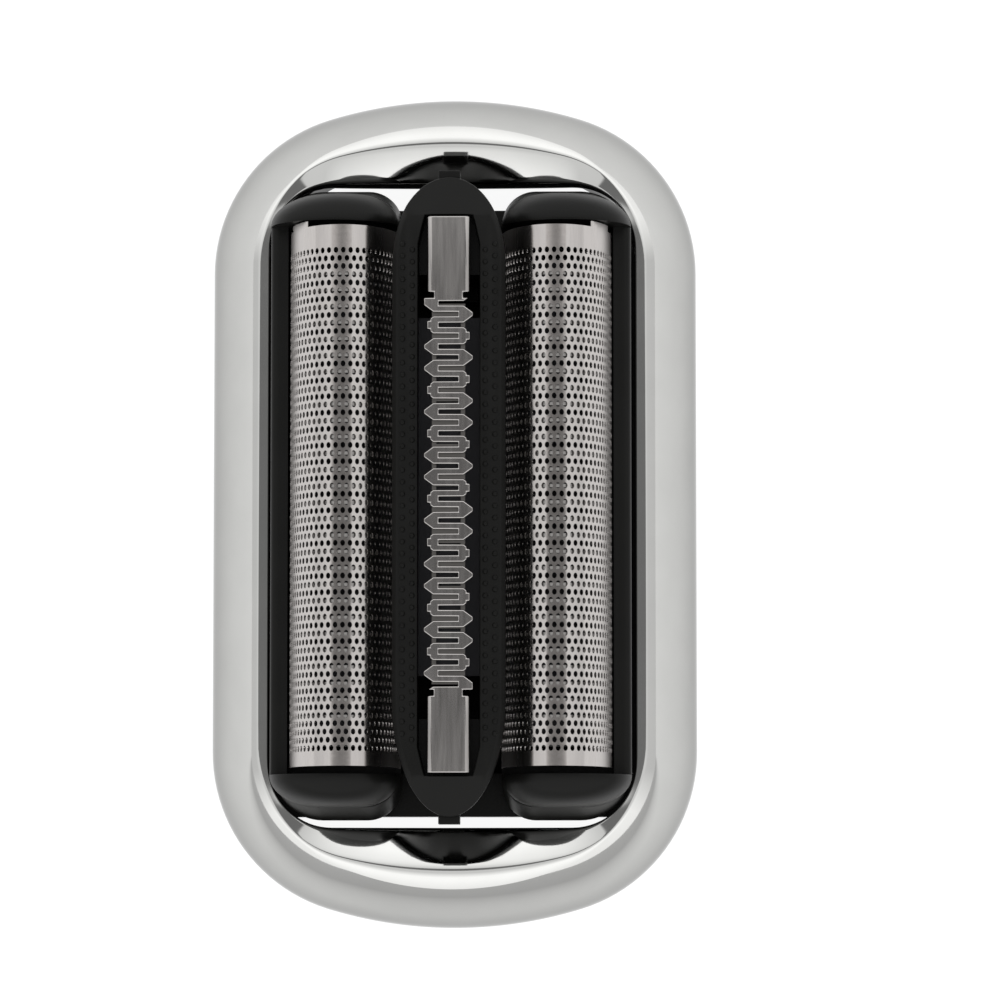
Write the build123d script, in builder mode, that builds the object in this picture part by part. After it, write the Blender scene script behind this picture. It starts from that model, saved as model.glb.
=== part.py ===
from build123d import *
import os
from math import atan2, cos, degrees, radians, sin, sqrt

# Foil head of an electric shaver. Millimetres, +Z towards the skin, +Y along the foils, rim at z = 0.

# Clearances and travel
running_gap = 0.15  # between pieces that slide past each other
seat_gap = 0.05  # between pieces that are clipped or laid together
float_travel = 1.5  # how far each foil and the trimmer sink into the head
drive_stroke = 1.0  # swing of the drive to each side of the middle

# Trimmer housing
trimmer_width = 6.8
trimmer_length = 44.6
front_nose = 8.1
rear_nose = 6.2
nose_drop = 1.3  # how far the top of the nose slopes down
cover_overhang = 0.55  # how far the cover's shoulders reach out over the foils
cover_height = 1.6
shoulder_drop = 0.7  # shoulder below the top of the comb
shoulder_edge = 0.35
groove_width = 4.3  # open groove round the comb
groove_depth = 2.0
groove_taper = 2.0  # length over which the groove narrows to the end of the comb
groove_end_gap = 0.2
trimmer_wall = 1.0
cavity_length = 31.0
guide_tab = 0.5
guide_tab_width = 1.5
guide_tab_height = 1.8

# Trimmer comb
comb_rise = 0.4  # top of the comb above the top of the foils
comb_length = 38.6
comb_width = 2.96  # over the bent-down sides
comb_tip_width = 3.4  # over the flat pointed tips
comb_thickness = 0.22
comb_side_depth = 0.9
plate_length = 5.3
neck_width = 2.0
slot_count = 36
slot_pitch = 0.755
slot_width = 0.3
slot_reach = 0.68  # how far a slot's closed end lies past the middle
notch_depth = 0.85
tip_land = 0.25

# Trimmer blade and its slider
blade_width = 2.3
blade_length = 26.4
blade_thickness = 0.3
tooth_pitch = 1.97
tooth_gap = 1.0
tooth_count = 13
blade_web = 0.3
slider_length = 25.0
slider_neck_width = 2.0
slider_bar_height = 1.4
tongue_width = 1.8
tongue_thickness = 1.1
tongue_overlap = 2.6  # how far the tongue reaches into its fork

# Foils
foil_half_width = 3.9
arch_rise = 7.0  # top of the arch above its spring line
arch_lift = 1.1  # spring line above the floor of the frame
foil_thickness = 0.1
foil_length = 37.6
hole_columns = 3  # from the middle of the arch to one side
hole_rows = 7
hole_pitch = 5.0
hole_angle = 26.0  # turn from one column to the next
hole_length = 1.4
hole_width = 0.54
tab_start = 2.5  # fixing tab at one end, from the middle of the arch
tab_width = 1.1

# Foil frames
outer_rail = 1.25
outer_rail_height = 2.6
frame_floor = 1.6
seat_height = 0.85
cap_gap = 0.5  # open gap between the end of a foil and its cap
cap_length = 2.25
cap_shoulder = 2.2  # straight side of a cap above the floor
cap_inner_round = 2.8  # how far the inner side of a cap draws in towards its end
cap_outer_round = 3.6
cap_stations = 4
skirt_reach = 0.85  # foot of a cap beyond its shoulder
skirt_inner_corner = 2.4
skirt_outer_corner = 3.6
leg_width = 1.6
leg_thickness = 0.9
barb_reach = 0.45
barb_height = 0.7

# Cutters
cutter_gap = 0.08  # between the lamellae and the inside of the foil
carrier_width = 5.4
carrier_length = 34.4
carrier_height = 1.7
flange_thickness = 0.6
lamella_count = 12
lamella_pitch = 2.8
lamella_thickness = 0.26
lamella_ring = 1.1
lamella_window = 4.2  # height of the opening inside a lamella
lamella_window_angle = 72.0

# Springs
spring_length = 5.0
spring_radius = 1.1
spring_turns = 2.5
wire = 0.36
cutter_spring_pitch = 10.4

# Drive bridge
neck_depth = 4.8  # room for the neck of the shaver above the rim
boss_height = 4.5
socket_radius = 2.0
socket_depth = 5.0
socket_wall = 1.3
bridge_width = 22.2
bridge_length = 16.0
bridge_thickness = 1.8
bridge_round = 2.0
post_width = 2.0
post_thickness = 1.6
fork_width = 2.4
fork_wall = 1.0

# Base frame
base_length = 37.9
base_thickness = 1.6
lip_reach = 0.7
lip_thickness = 0.7
rinse_width = 4.2
rinse_length = 20.0

# Chassis
chassis_wall = 1.3
wall_show = 0.35  # strip of chassis seen inside the ring's opening
cross_height = 2.2
cross_width = 2.2
cross_inset = 0.3  # cross bar inside the end of the caps
front_ledge = 0.85  # front cross bar beyond the rear one
shelf_width = 3.6
liner_thickness = 1.2
liner_height = 4.0
liner_lift = 0.4
clip_length = 3.0
clip_depth = 0.8
clip_height = 1.0
catch_length = 8.0
catch_depth = 0.6
catch_height = 1.6
catch_level = 2.0

# Outer ring
side_band = 4.3
end_band = 7.1
end_gap = 0.5  # open gap between the ring and the foil frames
opening_corner = 4.5
corner_radius = 11.8
end_radius = 31.2
ring_wall = 1.4
flange_wall = 1.1  # thickness at the edge of the opening
rim_inset = 1.0
belly_height = 7.5
ridge_inset = 3.4
ridge_rise = 1.95  # ridge above the cross bars
roll_reach = 7.2  # inner roll before the opening cuts it
roll_drop = 1.5
roll_tilt = 10.0  # slope of the roll where it leaves the ridge
chassis_drop = 1.5  # chassis walls under the ring's top wall

# Widths from the middle outwards
foil_offset = trimmer_width / 2 + running_gap + foil_half_width
frame_inner = trimmer_width / 2 + running_gap
rail_inner = foil_offset + foil_half_width + 2 * seat_gap
frame_outer = rail_inner + outer_rail
frame_middle = (frame_inner + frame_outer) / 2
frame_width = frame_outer - frame_inner
wall_inner = frame_outer + running_gap
opening_half_width = wall_inner + wall_show
ring_half_width = opening_half_width + side_band

# Lengths from the middle outwards
cap_inner = foil_length / 2 + cap_gap
frame_end = cap_inner + cap_length
skirt_end = frame_end + skirt_reach
opening_half_length = skirt_end + end_gap
ring_half_length = opening_half_length + end_band
cross_y = frame_end - cross_inset - cross_width / 2
shelf_length = 2 * cross_width
shelf_y = cross_y - cross_width / 2 - shelf_length / 2

# Heights from the rim upwards
bridge_bottom = neck_depth + boss_height
bridge_top = bridge_bottom + bridge_thickness
base_top = bridge_bottom - running_gap
base_bottom = base_top - base_thickness
cutter_bottom = bridge_top + spring_length
flange_bottom = cutter_bottom + carrier_height
carrier_top = flange_bottom + flange_thickness
seat_top = flange_bottom - running_gap
floor_top = seat_top - seat_height
frame_bottom = floor_top - frame_floor
arch_z = floor_top + arch_lift
foil_top = arch_z + arch_rise
cross_top = frame_bottom - float_travel - running_gap
cross_bottom = cross_top - cross_height
ring_height = cross_top + ridge_rise
chassis_top = ring_height - ring_wall - chassis_drop
barb_top = cross_bottom - running_gap
comb_top = foil_top + comb_rise
comb_bottom = comb_top - comb_thickness
blade_top = comb_bottom - seat_gap
blade_bottom = blade_top - blade_thickness
shoulder_top = comb_top - shoulder_drop
housing_top = shoulder_top - cover_height
groove_floor = shoulder_top - groove_depth
slider_bar_top = groove_floor - running_gap
slider_bottom = slider_bar_top - slider_bar_height
fork_top = cross_top + running_gap + float_travel
tongue_bottom = fork_top - tongue_overlap
pocket_roof = cross_top + spring_length

# Centres of the ring's corner and end arcs
corner_x = ring_half_width - corner_radius
end_y = ring_half_length - end_radius
corner_y = end_y + sqrt((end_radius - corner_radius) ** 2 - corner_x**2)
touch_angle = degrees(atan2(corner_y - end_y, corner_x))

os.makedirs("parts", exist_ok=True)


def ring_outline(inset):
    with BuildLine() as outline:
        Line((ring_half_width - inset, 0), (ring_half_width - inset, corner_y))
        CenterArc((corner_x, corner_y), corner_radius - inset, 0, touch_angle)
        CenterArc((0, end_y), end_radius - inset, touch_angle, 90 - touch_angle)
        mirror(about=Plane.YZ)
        mirror(about=Plane.XZ)
    return outline.wire()


def coil(x, y, z):
    helix = Helix(spring_length / spring_turns, spring_length - wire - 2 * seat_gap, spring_radius)
    helix = Pos(x, y, z + wire / 2 + seat_gap) * helix
    with BuildSketch(Plane(origin=helix @ 0, z_dir=helix % 0)) as section:
        Rectangle(wire, wire)
    sweep(sections=section.sketch, path=helix, is_frenet=True)


def boat(overhang):
    half_width = trimmer_width / 2 + overhang
    with BuildLine() as outline:
        for end, nose in ((-1, front_nose), (1, rear_nose)):
            side_end = end * (trimmer_length / 2 - nose)
            nose_reach = nose - cover_overhang + overhang
            Line((half_width, 0), (half_width, side_end))
            EllipticalCenterArc((0, side_end), half_width, nose_reach, arc_size=end * 90)
        mirror(about=Plane.YZ)
    return outline.wire()


def comb_groove():
    groove_end = comb_length / 2 + groove_end_gap
    end_half = comb_width / 2 + groove_end_gap
    with BuildLine() as outline:
        Polyline(
            (0, -groove_end),
            (end_half, -groove_end),
            (groove_width / 2, groove_taper - groove_end),
            (groove_width / 2, groove_end - groove_taper),
            (end_half, groove_end),
            (0, groove_end),
        )
        mirror(about=Plane.YZ)
    return outline.wire()


# Outer ring: one wall section swept round the outline, then the opening cut through its inner slope
with BuildPart() as outer_ring:
    with BuildSketch(Plane.XZ):
        ridge = (ring_half_width - ridge_inset, ring_height)
        ridge_under = (ring_half_width - ridge_inset, ring_height - ring_wall)
        roll_end = (ring_half_width - roll_reach, ring_height - roll_drop)
        roll_under = (ring_half_width - roll_reach, ring_height - roll_drop - flange_wall)
        belly = (ring_half_width, belly_height)
        belly_inside = (ring_half_width - ring_wall, belly_height)
        foot = (ring_half_width - rim_inset, 0)
        foot_inside = (ring_half_width - rim_inset - ring_wall, 0)
        with BuildLine():
            TangentArc(belly, foot, tangent=(0, -1))
            TangentArc(belly, ridge, tangent=(0, 1))
            TangentArc(ridge, roll_end, tangent=(-cos(radians(roll_tilt)), -sin(radians(roll_tilt))))
            Polyline(roll_end, roll_under, ridge_under)
            TangentArc(belly_inside, ridge_under, tangent=(0, 1))
            Polyline(belly_inside, foot_inside, foot)
        make_face()
    sweep(path=ring_outline(0))
    with BuildSketch(Plane.XY.offset(belly_height)):
        RectangleRounded(2 * opening_half_width, 2 * opening_half_length, opening_corner)
    extrude(amount=ring_height, mode=Mode.SUBTRACT)
outer_ring.part.label = "outer_ring"
export_step(outer_ring.part, "parts/outer_ring.step")

# Chassis: liner inside the skirt of the ring, two long walls, two cross bars with spring shelves
with BuildPart() as chassis:
    liner_inset = rim_inset + ring_wall + seat_gap
    with BuildSketch(Plane.XY.offset(liner_lift)):
        make_face(ring_outline(liner_inset))
        make_face(ring_outline(liner_inset + liner_thickness), mode=Mode.SUBTRACT)
    extrude(amount=liner_height)
    wall_middle = wall_inner + chassis_wall / 2
    wall_length = 2 * cross_y + cross_width / 2
    with BuildSketch(Plane.XY.offset(liner_lift)):
        with Locations((wall_middle, 0), (-wall_middle, 0)):
            Rectangle(chassis_wall, wall_length)
    extrude(amount=chassis_top - liner_lift)
    with BuildSketch(Plane.XY.offset(cross_bottom)):
        with Locations((0, -cross_y - cross_width / 2)):
            Rectangle(2 * frame_outer, front_ledge, align=(Align.CENTER, Align.MAX))
        for end in (-1, 1):
            with Locations((0, end * cross_y)):
                Rectangle(2 * (wall_inner + wall_show / 2), cross_width)
            with Locations((0, end * shelf_y)):
                Rectangle(shelf_width, shelf_length)
            with Locations((-frame_middle, end * cross_y), (0, end * cross_y), (frame_middle, end * cross_y)):
                Rectangle(leg_width + 2 * running_gap, leg_thickness + 2 * running_gap, mode=Mode.SUBTRACT)
    extrude(amount=cross_height)
    clip_y = base_length / 2 - clip_length / 2
    for side in (-1, 1):
        with Locations((side * (wall_inner - clip_depth / 2), 0, base_bottom - seat_gap - clip_height / 2)):
            with Locations((0, -clip_y, 0), (0, clip_y, 0)):
                Box(clip_depth, clip_length, clip_height)
        with Locations((side * (wall_inner - catch_depth / 2), 0, catch_level)):
            Box(catch_depth, catch_length, catch_height)
chassis.part.label = "chassis"
export_step(chassis.part, "parts/chassis.step")

# Base frame: channel that guides the drive bridge, with rinsing windows
with BuildPart() as base_frame:
    base_half_width = wall_inner - seat_gap
    track_half_width = bridge_width / 2 + running_gap
    lip_bottom = bridge_top + running_gap
    lip_top = lip_bottom + lip_thickness
    with BuildSketch(Plane.XZ):
        with BuildLine():
            Polyline(
                (0, base_bottom),
                (base_half_width, base_bottom),
                (base_half_width, lip_top),
                (track_half_width - lip_reach, lip_top),
                (track_half_width - lip_reach, lip_bottom),
                (track_half_width, lip_bottom),
                (track_half_width, base_top),
                (0, base_top),
            )
            mirror(about=Plane.YZ)
        make_face()
    extrude(amount=base_length / 2, both=True)
    with BuildSketch(Plane.XY.offset(base_bottom)):
        SlotCenterToCenter(2 * drive_stroke, 2 * (socket_radius + socket_wall + running_gap), rotation=90)
        with Locations((-foil_offset, 0), (foil_offset, 0)):
            RectangleRounded(rinse_width, rinse_length, rinse_width / 4)
    extrude(amount=base_thickness, mode=Mode.SUBTRACT)
base_frame.part.label = "base_frame"
export_step(base_frame.part, "parts/base_frame.step")

# Drive bridge: plate in the track, socket boss below, posts for the cutters and a fork for the trimmer above
with BuildPart() as drive_bridge:
    with BuildSketch(Plane.XY.offset(bridge_bottom)):
        RectangleRounded(bridge_width, bridge_length, bridge_round)
        with Locations((0, -bridge_length / 2), (0, bridge_length / 2)):
            SlotCenterToCenter(fork_width, fork_width, rotation=90, mode=Mode.SUBTRACT)
    extrude(amount=bridge_thickness)
    with BuildSketch(Plane.XY.offset(neck_depth)):
        Circle(socket_radius + socket_wall)
    extrude(amount=boss_height)
    with BuildSketch(Plane.XY.offset(neck_depth)):
        Circle(socket_radius)
    extrude(amount=socket_depth, mode=Mode.SUBTRACT)
    with BuildSketch(Plane.XY.offset(bridge_top)):
        with Locations((-foil_offset, 0), (foil_offset, 0)):
            Rectangle(post_width, post_thickness)
    extrude(amount=flange_bottom - bridge_top)
    with BuildSketch(Plane.XY.offset(bridge_top)):
        fork_y = tongue_thickness / 2 + seat_gap + fork_wall / 2
        with Locations((0, -fork_y), (0, fork_y)):
            Rectangle(fork_width, fork_wall)
    extrude(amount=fork_top - bridge_top)
drive_bridge.part.label = "drive_bridge"
export_step(drive_bridge.part, "parts/drive_bridge.step")

# Right foil: arched sheet with straight flanks; a coarse pattern stands for the fine perforation
with BuildPart() as right_foil:
    flank_bottom = floor_top + seat_gap
    with BuildSketch(Plane.XZ):
        for inset, mode in ((0, Mode.ADD), (foil_thickness, Mode.SUBTRACT)):
            with Locations((foil_offset, arch_z)):
                Ellipse(foil_half_width - inset, arch_rise - inset, mode=mode)
            with Locations((foil_offset, (arch_z + flank_bottom) / 2)):
                Rectangle(2 * (foil_half_width - inset), arch_z - flank_bottom, mode=mode)
        with Locations((foil_offset, flank_bottom)):
            Rectangle(2 * foil_half_width, arch_rise, align=(Align.CENTER, Align.MAX), mode=Mode.SUBTRACT)
    extrude(amount=foil_length / 2, both=True)
    for column in range(2 * hole_columns - 1):
        turn = radians((column - hole_columns + 1) * hole_angle)
        place = (foil_offset + foil_half_width * sin(turn), 0, arch_z + arch_rise * cos(turn))
        outwards = (arch_rise * sin(turn), 0, foil_half_width * cos(turn))
        face = Plane(origin=place, x_dir=(0, 1, 0), z_dir=outwards)
        with BuildSketch(face.offset(-2 * foil_thickness)):
            with GridLocations(hole_pitch, hole_pitch, hole_rows - column % 2, 1):
                Rectangle(hole_length, hole_width)
        extrude(amount=3 * foil_thickness, mode=Mode.SUBTRACT)
    with BuildSketch(Plane.XZ.offset(-foil_length / 2)):
        with Locations((foil_offset, arch_z)):
            Ellipse(foil_half_width, arch_rise)
            Ellipse(foil_half_width - foil_thickness, arch_rise - foil_thickness, mode=Mode.SUBTRACT)
        with Locations((foil_offset + tab_start, arch_z)):
            Rectangle(tab_width, arch_rise, align=(Align.MIN, Align.MIN), mode=Mode.INTERSECT)
    extrude(amount=-(cap_gap - 2 * seat_gap))
right_foil.part.label = "right_foil"
export_step(right_foil.part, "parts/right_foil.step")

# Right foil frame: floor with a window for the cutter, seats for the foil, rail, domed caps and snap legs
with BuildPart() as right_foil_frame:
    window_half_width = carrier_width / 2 + 2 * running_gap
    window_half_length = carrier_length / 2 + drive_stroke + running_gap
    seat_width = foil_half_width - foil_thickness - seat_gap - window_half_width
    arch_middle = floor_top + cap_shoulder
    for level, reach in ((frame_bottom, skirt_end), (arch_middle, frame_end)):
        with BuildSketch(Plane.XY.offset(level)) as skirt:
            with Locations((frame_middle, 0)):
                Rectangle(frame_width, 2 * reach)
            fillet(skirt.vertices().group_by(Axis.X)[-1], radius=skirt_outer_corner)
            fillet(skirt.vertices().group_by(Axis.X)[0], radius=skirt_inner_corner)
    loft(ruled=True)
    with BuildSketch(Plane.XY.offset(frame_bottom)):
        with Locations((frame_middle, 0)):
            Rectangle(2 * frame_width, 2 * cap_inner)
    extrude(amount=frame_floor + cap_shoulder, mode=Mode.SUBTRACT)
    with BuildSketch(Plane.XY.offset(frame_bottom)):
        with Locations((frame_middle, 0)):
            Rectangle(frame_width, 2 * cap_inner)
    extrude(amount=frame_floor)
    with BuildSketch(Plane.XY.offset(floor_top)):
        seat_x = window_half_width + seat_width / 2
        with Locations((foil_offset - seat_x, 0), (foil_offset + seat_x, 0)):
            Rectangle(seat_width, 2 * window_half_length)
    extrude(amount=seat_height)
    with BuildSketch(Plane.XY.offset(floor_top)):
        with Locations((frame_outer - outer_rail / 2, 0)):
            Rectangle(outer_rail, 2 * cap_inner)
    extrude(amount=outer_rail_height)
    rail_edge = right_foil_frame.edges().filter_by(Axis.Y).group_by(Axis.X)[-1].sort_by(Axis.Z)[-1]
    fillet(rail_edge, radius=outer_rail / 2)
    for end in (-1, 1):
        for station in range(cap_stations + 1):
            turn = radians(90 * station / cap_stations)
            left = frame_inner + cap_inner_round * (1 - cos(turn))
            right = frame_outer - cap_outer_round * (1 - cos(turn))
            arch_top = ((left + right) / 2, arch_middle + (right - left) / 2)
            with BuildSketch(Plane.XZ.offset(-end * (cap_inner + cap_length * sin(turn)))):
                with BuildLine():
                    Line((left, arch_middle), (left, frame_bottom))
                    Line((left, frame_bottom), (right, frame_bottom))
                    Line((right, frame_bottom), (right, arch_middle))
                    ThreePointArc((right, arch_middle), arch_top, (left, arch_middle))
                make_face()
        loft()
    with BuildSketch(Plane.XY.offset(frame_bottom)):
        with Locations((foil_offset, 0)):
            Rectangle(2 * window_half_width, 2 * window_half_length)
    extrude(amount=frame_floor, mode=Mode.SUBTRACT)
    for end in (-1, 1):
        with BuildSketch(Plane.XY.offset(frame_bottom)):
            with Locations((frame_middle, end * cross_y)):
                Rectangle(leg_width, leg_thickness)
        extrude(amount=-(frame_bottom - barb_top + barb_height))
        barb_y = end * (cross_y + barb_reach / 2)
        with Locations((frame_middle, barb_y, barb_top - barb_height / 2)):
            Box(leg_width, leg_thickness + barb_reach, barb_height)
right_foil_frame.part.label = "right_foil_frame"
export_step(right_foil_frame.part, "parts/right_foil_frame.step")

# Right cutter carrier: bar with a top flange for the lamellae and a pocket for the drive post
with BuildPart() as right_cutter_carrier:
    with BuildSketch(Plane.XY.offset(cutter_bottom)):
        with Locations((foil_offset, 0)):
            Rectangle(carrier_width, carrier_length)
    extrude(amount=carrier_height)
    cutter_half_width = foil_half_width - foil_thickness - cutter_gap
    with BuildSketch(Plane.XY.offset(flange_bottom)):
        with Locations((foil_offset, 0)):
            Rectangle(2 * (cutter_half_width - running_gap), carrier_length)
    extrude(amount=flange_thickness)
    with BuildSketch(Plane.XY.offset(cutter_bottom)):
        with Locations((foil_offset, 0)):
            Rectangle(post_width + 2 * seat_gap, post_thickness + 2 * seat_gap)
    extrude(amount=carrier_top - cutter_bottom, mode=Mode.SUBTRACT)
right_cutter_carrier.part.label = "right_cutter_carrier"
export_step(right_cutter_carrier.part, "parts/right_cutter_carrier.step")

# Right cutter blades: a row of thin arched lamellae standing on the carrier
with BuildPart() as right_cutter_blades:
    cutter_rise = arch_rise - foil_thickness - cutter_gap
    with BuildSketch(Plane.XZ) as lamella:
        with Locations((foil_offset, arch_z)):
            Ellipse(cutter_half_width, cutter_rise)
        with Locations((foil_offset, carrier_top)):
            below, above = (Align.CENTER, Align.MAX), (Align.CENTER, Align.MIN)
            Rectangle(2 * cutter_half_width, 2 * arch_rise, align=below, mode=Mode.SUBTRACT)
            window_base = 2 * (cutter_half_width - lamella_ring)
            Trapezoid(window_base, lamella_window, lamella_window_angle, align=above, mode=Mode.SUBTRACT)
    for number in range(lamella_count):
        lamella_y = (number - (lamella_count - 1) / 2) * lamella_pitch
        extrude(Pos(0, lamella_y, 0) * lamella.sketch, amount=lamella_thickness / 2, both=True)
right_cutter_blades.part.label = "right_cutter_blades"
export_step(right_cutter_blades.part, "parts/right_cutter_blades.step")

# Left side: the same pieces mirrored
with BuildPart() as left_foil:
    mirror(right_foil.part, about=Plane.YZ)
left_foil.part.label = "left_foil"
export_step(left_foil.part, "parts/left_foil.step")

with BuildPart() as left_foil_frame:
    mirror(right_foil_frame.part, about=Plane.YZ)
left_foil_frame.part.label = "left_foil_frame"
export_step(left_foil_frame.part, "parts/left_foil_frame.step")

with BuildPart() as left_cutter_carrier:
    mirror(right_cutter_carrier.part, about=Plane.YZ)
left_cutter_carrier.part.label = "left_cutter_carrier"
export_step(left_cutter_carrier.part, "parts/left_cutter_carrier.step")

with BuildPart() as left_cutter_blades:
    mirror(right_cutter_blades.part, about=Plane.YZ)
left_cutter_blades.part.label = "left_cutter_blades"
export_step(left_cutter_blades.part, "parts/left_cutter_blades.step")

# Cutter springs: a coil near each end of the drive bridge under each cutter
spring_y = cutter_spring_pitch / 2
with BuildPart() as left_cutter_spring_front:
    coil(-foil_offset, -spring_y, bridge_top)
left_cutter_spring_front.part.label = "left_cutter_spring_front"
export_step(left_cutter_spring_front.part, "parts/left_cutter_spring_front.step")

with BuildPart() as left_cutter_spring_rear:
    coil(-foil_offset, spring_y, bridge_top)
left_cutter_spring_rear.part.label = "left_cutter_spring_rear"
export_step(left_cutter_spring_rear.part, "parts/left_cutter_spring_rear.step")

with BuildPart() as right_cutter_spring_front:
    coil(foil_offset, -spring_y, bridge_top)
right_cutter_spring_front.part.label = "right_cutter_spring_front"
export_step(right_cutter_spring_front.part, "parts/right_cutter_spring_front.step")

with BuildPart() as right_cutter_spring_rear:
    coil(foil_offset, spring_y, bridge_top)
right_cutter_spring_rear.part.label = "right_cutter_spring_rear"
export_step(right_cutter_spring_rear.part, "parts/right_cutter_spring_rear.step")

# Trimmer housing: boat-shaped bar, hollow below, open under the comb, with a pad under each end plate
with BuildPart() as trimmer_housing:
    pad_width = comb_width - 2 * comb_thickness - 2 * seat_gap
    with BuildSketch(Plane.XY.offset(frame_bottom)):
        make_face(boat(0))
    extrude(amount=housing_top - frame_bottom)
    with BuildSketch(Plane.XY.offset(groove_floor)):
        make_face(comb_groove())
    extrude(amount=groove_depth, mode=Mode.SUBTRACT)
    with BuildSketch(Plane.XY.offset(frame_bottom)):
        Rectangle(trimmer_width - 2 * trimmer_wall, cavity_length)
    extrude(amount=groove_floor - frame_bottom, mode=Mode.SUBTRACT)
    for end in (-1, 1):
        with BuildSketch(Plane.XY.offset(frame_bottom)):
            with Locations((0, end * shelf_y)):
                Circle(spring_radius + wire)
        extrude(amount=pocket_roof - frame_bottom, mode=Mode.SUBTRACT)
        with BuildSketch(Plane.XY.offset(groove_floor)):
            with Locations((0, end * (comb_length - plate_length) / 2)):
                Rectangle(pad_width, plate_length - 2 * comb_thickness)
        extrude(amount=comb_bottom - groove_floor)
        with BuildSketch(Plane.XY.offset(frame_bottom)):
            with Locations((0, end * cross_y)):
                Rectangle(leg_width, leg_thickness)
        extrude(amount=-(frame_bottom - barb_top + barb_height))
        with Locations((0, end * (cross_y + barb_reach / 2), barb_top - barb_height / 2)):
            Box(leg_width, leg_thickness + barb_reach, barb_height)
        tab_y = end * (trimmer_length - cover_overhang) / 2
        with Locations((0, tab_y, housing_top - guide_tab_height / 2)):
            Box(guide_tab_width, 2 * guide_tab + cover_overhang, guide_tab_height)
trimmer_housing.part.label = "trimmer_housing"
export_step(trimmer_housing.part, "parts/trimmer_housing.step")

# Trimmer cover: the shoulders on both sides of the comb, wider than the housing and sloping down at the noses
with BuildPart() as trimmer_cover:
    cover_bottom = housing_top + seat_gap
    with BuildSketch(Plane.XY.offset(cover_bottom)):
        make_face(boat(cover_overhang))
    extrude(amount=shoulder_top - cover_bottom)
    chamfer(trimmer_cover.faces().sort_by(Axis.Z)[-1].edges(), length=shoulder_edge)
    for end in (-1, 1):
        with BuildSketch(Plane.YZ):
            ramp_start = end * comb_length / 2
            tip = end * (trimmer_length / 2 + seat_gap)
            Polygon(
                (ramp_start, shoulder_top + seat_gap),
                (tip, shoulder_top + seat_gap),
                (tip, shoulder_top - nose_drop),
                align=None,
            )
        extrude(amount=trimmer_width, both=True, mode=Mode.SUBTRACT)
    with BuildSketch(Plane.XY.offset(cover_bottom)):
        make_face(comb_groove())
    extrude(amount=groove_depth, mode=Mode.SUBTRACT)
trimmer_cover.part.label = "trimmer_cover"
export_step(trimmer_cover.part, "parts/trimmer_cover.step")

# Trimmer comb: strip slotted from both sides in turn, some loops ending in flat points and some bent down
with BuildPart() as trimmer_comb:
    tip_half = comb_tip_width / 2
    bend_half = comb_width / 2
    meander_length = slot_count * slot_pitch
    slot_length = tip_half + slot_reach
    notch_half = slot_pitch - tip_land / 2
    bent_spots = []
    with BuildSketch(Plane.XY.offset(comb_bottom)):
        Rectangle(comb_tip_width, meander_length)
        Rectangle(neck_width, comb_length - plate_length)
        plate_y = (comb_length - plate_length) / 2
        with Locations((0, -plate_y), (0, plate_y)):
            Rectangle(comb_width, plate_length)
        for slot in range(slot_count):
            side = 1 if slot % 2 == 0 else -1
            loop = slot // 2
            slot_y = ((slot_count - 1) / 2 - slot) * slot_pitch
            with Locations((side * (slot_length / 2 - slot_reach), slot_y)):
                Rectangle(slot_length, slot_width, mode=Mode.SUBTRACT)
            Polygon(
                (side * (tip_half - notch_depth), slot_y),
                (side * tip_half, slot_y + notch_half),
                (side * tip_half, slot_y - notch_half),
                align=None,
                mode=Mode.SUBTRACT,
            )
            if loop % 5 in ((1, 4) if side > 0 else (1, 3)):
                bent_spots.append((-side * bend_half, slot_y))
        with Locations(bent_spots):
            Rectangle(2 * (tip_half - bend_half), 2 * slot_pitch, mode=Mode.SUBTRACT)
    extrude(amount=comb_thickness)
    bent_length = slot_pitch - notch_half * (bend_half + notch_depth - tip_half) / notch_depth
    with BuildSketch(Plane.XY.offset(comb_top - comb_side_depth)):
        for spot_x, spot_y in bent_spots:
            edge_x = spot_x - comb_thickness / 2 if spot_x > 0 else spot_x + comb_thickness / 2
            with Locations((edge_x, spot_y)):
                Rectangle(comb_thickness, 2 * bent_length)
        edge_x = bend_half - comb_thickness / 2
        with Locations((-edge_x, -plate_y), (edge_x, -plate_y), (-edge_x, plate_y), (edge_x, plate_y)):
            Rectangle(comb_thickness, plate_length)
    extrude(amount=comb_side_depth)
trimmer_comb.part.label = "trimmer_comb"
export_step(trimmer_comb.part, "parts/trimmer_comb.step")

# Trimmer blade: toothed strip that runs under the comb
with BuildPart() as trimmer_blade:
    with BuildSketch(Plane.XY.offset(blade_bottom)):
        Rectangle(blade_width, blade_length)
        with GridLocations(0, tooth_pitch, 1, tooth_count):
            Rectangle(blade_width - 2 * blade_web, tooth_gap, mode=Mode.SUBTRACT)
    extrude(amount=blade_thickness)
trimmer_blade.part.label = "trimmer_blade"
export_step(trimmer_blade.part, "parts/trimmer_blade.step")

# Trimmer slider: bar in the housing's cavity, neck up to the blade and tongue down to the drive's fork
with BuildPart() as trimmer_slider:
    with BuildSketch(Plane.XY.offset(slider_bottom)):
        Rectangle(trimmer_width - 2 * trimmer_wall - 2 * running_gap, slider_length)
    extrude(amount=slider_bar_height)
    with BuildSketch(Plane.XY.offset(slider_bar_top)):
        Rectangle(slider_neck_width, slider_length)
    extrude(amount=blade_bottom - slider_bar_top)
    with BuildSketch(Plane.XY.offset(tongue_bottom)):
        Rectangle(tongue_width, tongue_thickness)
    extrude(amount=slider_bottom - tongue_bottom)
trimmer_slider.part.label = "trimmer_slider"
export_step(trimmer_slider.part, "parts/trimmer_slider.step")

# Trimmer springs: a coil on the shelf of each cross bar
with BuildPart() as trimmer_spring_front:
    coil(0, -shelf_y, cross_top)
trimmer_spring_front.part.label = "trimmer_spring_front"
export_step(trimmer_spring_front.part, "parts/trimmer_spring_front.step")

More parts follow.
